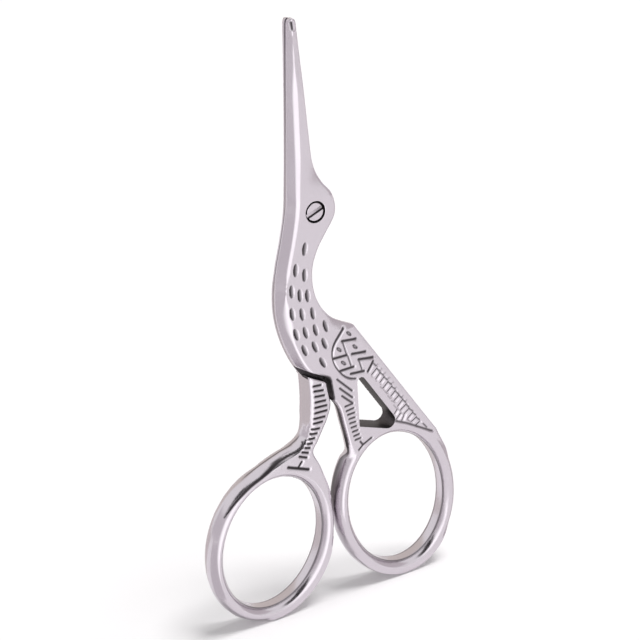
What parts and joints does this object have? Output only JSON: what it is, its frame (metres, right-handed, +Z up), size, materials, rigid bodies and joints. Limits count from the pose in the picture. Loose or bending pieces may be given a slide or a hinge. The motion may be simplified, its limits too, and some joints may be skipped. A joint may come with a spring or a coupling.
{
  "type": "embroidery scissors",
  "caption": "Steel embroidery scissors shaped like a standing stork: the beak forms the blades, the legs run down to oval finger rings, and a slotted screw is the pivot.",
  "frame": {"origin": "on the floor under the finger rings, midway between the rings' outer sides and between the faces", "axes": "+X towards the stork's tail, +Y towards the rear half, +Z up from the rings to the blade tips"},
  "size_m": [0.045, 0.0038, 0.094],
  "materials": {
    "rear_steel": "polished stainless steel, darkened in the engraving",
    "front_steel": "polished stainless steel, darkened in the engraving and on the inner walls",
    "screw_steel": "turned and polished steel"
  },
  "bodies": {
    "rear": {"rear_half": "rear_steel", "pivot_screw": "screw_steel"},
    "front": {"front_half": "front_steel"}
  },
  "joints": [
    {"name": "pivot", "type": "hinge", "parent": "rear", "child": "front", "pos_m": [-0.00078, 0, 0.06485], "axis": [0, -1, 0], "range_deg": [0, 90]}
  ]
}
